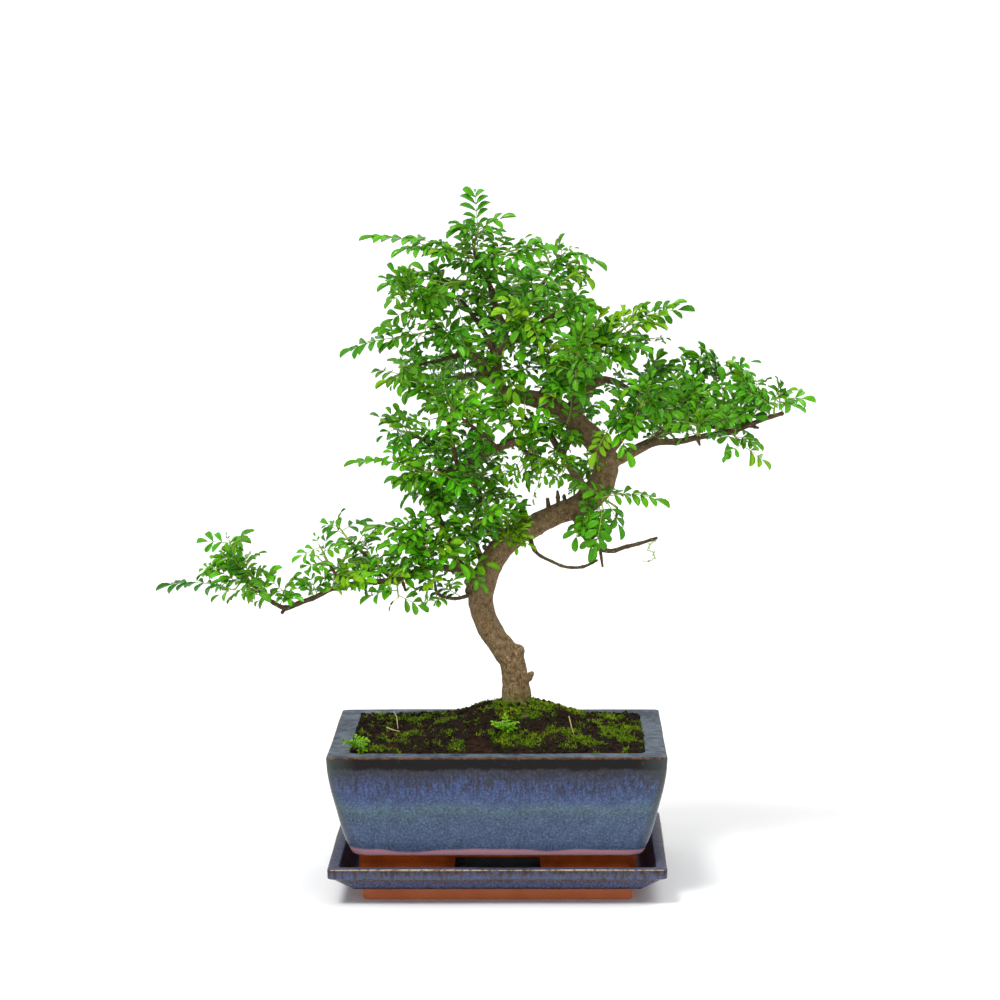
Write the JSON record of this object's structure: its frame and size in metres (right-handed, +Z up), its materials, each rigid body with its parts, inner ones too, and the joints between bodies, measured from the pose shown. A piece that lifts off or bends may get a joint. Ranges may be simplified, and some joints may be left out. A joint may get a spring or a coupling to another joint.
{
  "type": "japanese pepper bonsai",
  "caption": "Bonsai tree with an S-shaped trunk and compound leaves in a glazed rectangular pot on its saucer.",
  "frame": {"origin": "centre of the saucer's underside, on the surface that it stands on", "axes": "+Z up, +X along the pot's length to the viewer's right, +Y away from the viewer"},
  "size_m": [0.4887, 0.2229, 0.5241],
  "materials": {
    "glaze": "gloss",
    "soil": "matte",
    "bark": "matte",
    "leaf": "satin",
    "seedling": "satin",
    "screen": "matte"
  },
  "bodies": {
    "root": {"corner_seedling": "seedling", "drain_screen_left": "screen", "drain_screen_right": "screen", "front_weed": "seedling", "pot": "glaze", "saucer": "glaze", "soil": "soil", "spray_back_far_tip": "leaf", "spray_back_left_tip": "leaf", "spray_back_right_tip": "leaf", "spray_bend_tip": "leaf", "spray_crown_back": "leaf", "spray_crown_front": "leaf", "spray_crown_front_low": "leaf", "spray_crown_left_high": "leaf", "spray_crown_left_mid": "leaf", "spray_crown_right_high": "leaf", "spray_crown_right_mid": "leaf", "spray_crown_right_tip": "leaf", "spray_crown_top": "leaf", "spray_front_crown_side": "leaf", "spray_front_crown_tip": "leaf", "spray_front_right_side": "leaf", "spray_front_right_tip": "leaf", "spray_inner_front_tip": "leaf", "spray_inner_limb_tip": "leaf", "spray_inner_riser_tip": "leaf", "spray_knot_twig_tip": "leaf", "spray_leader_foot": "leaf", "spray_left_arm_back_tip": "leaf", "spray_left_arm_end": "leaf", "spray_left_arm_front_tip": "leaf", "spray_left_arm_knob": "leaf", "spray_left_arm_low": "leaf", "spray_left_arm_tip": "leaf", "spray_left_high_side": "leaf", "spray_left_high_tip": "leaf", "spray_left_leader_tip": "leaf", "spray_left_riser_fork_tip": "leaf", "spray_left_riser_side": "leaf", "spray_low_right_leaves": "leaf", "spray_middle_right_side": "leaf", "spray_middle_right_tip": "leaf", "spray_middle_right_up": "leaf", "spray_right_arm_end": "leaf", "spray_right_arm_hang": "leaf", "spray_right_arm_high": "leaf", "spray_right_arm_mid": "leaf", "spray_right_fork_tip": "leaf", "spray_straight_tip": "leaf", "spray_stub_tip": "leaf", "spray_up_left_back_tip": "leaf", "spray_up_left_low": "leaf", "spray_up_left_reach": "leaf", "spray_up_left_tip": "leaf", "spray_upper_right_mid": "leaf", "spray_upper_right_side": "leaf", "spray_upper_right_tip": "leaf", "spray_upper_twig_tip": "leaf", "tree": "bark"}
  },
  "joints": []
}
